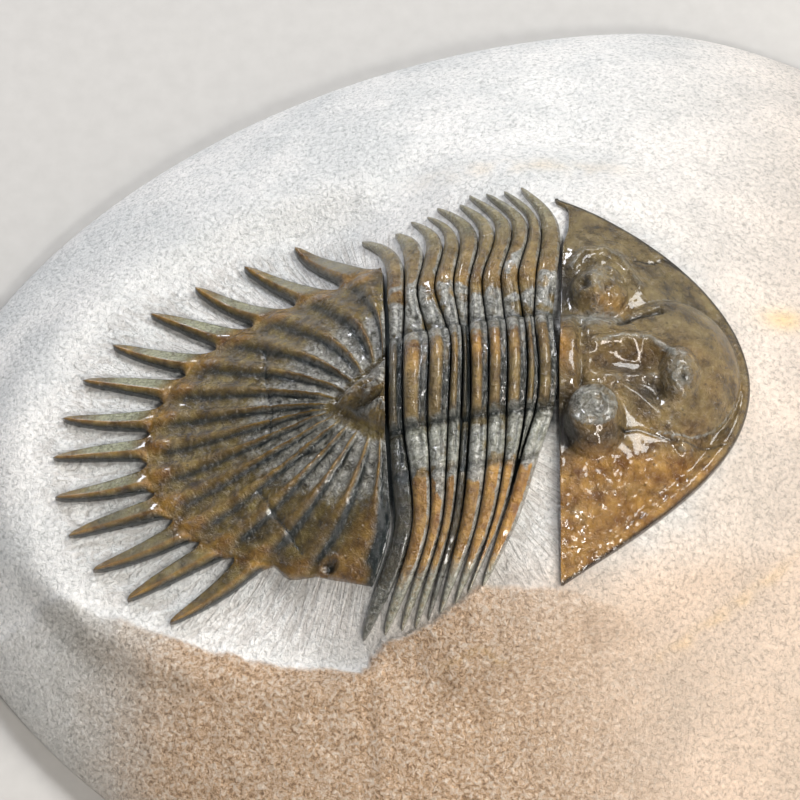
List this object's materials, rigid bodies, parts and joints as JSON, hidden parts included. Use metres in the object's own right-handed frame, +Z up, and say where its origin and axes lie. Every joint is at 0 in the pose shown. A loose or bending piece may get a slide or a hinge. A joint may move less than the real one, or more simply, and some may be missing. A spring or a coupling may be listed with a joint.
{
  "type": "trilobite fossil on its stone",
  "caption": "Spiny-tailed trilobite lying on an egg-shaped, flat-based block of limestone; shown as a shelf specimen.",
  "frame": {"origin": "middle of the stone's flat base", "axes": "+X from the tail to the head, +Y to the animal's left side, +Z up from the base"},
  "size_m": [0.1178, 0.1004, 0.0314],
  "materials": {
    "limestone": "air-abraded pale limestone, tan and granular where it was left unprepared",
    "head_shell": "glossy olive to orange-brown calcite shell",
    "thorax_shell": "glossy brown calcite shell, greyer towards the middle",
    "tail_shell": "dark grey-brown calcite shell with orange ribs and grey-green spines"
  },
  "bodies": {
    "root": {"matrix": "limestone", "cephalon": "head_shell", "thoracic_segment_01": "thorax_shell", "thoracic_segment_02": "thorax_shell", "thoracic_segment_03": "thorax_shell", "thoracic_segment_04": "thorax_shell", "thoracic_segment_05": "thorax_shell", "thoracic_segment_06": "thorax_shell", "thoracic_segment_07": "thorax_shell", "thoracic_segment_08": "thorax_shell", "thoracic_segment_09": "thorax_shell", "thoracic_segment_10": "thorax_shell", "pygidium": "tail_shell"}
  },
  "joints": []
}
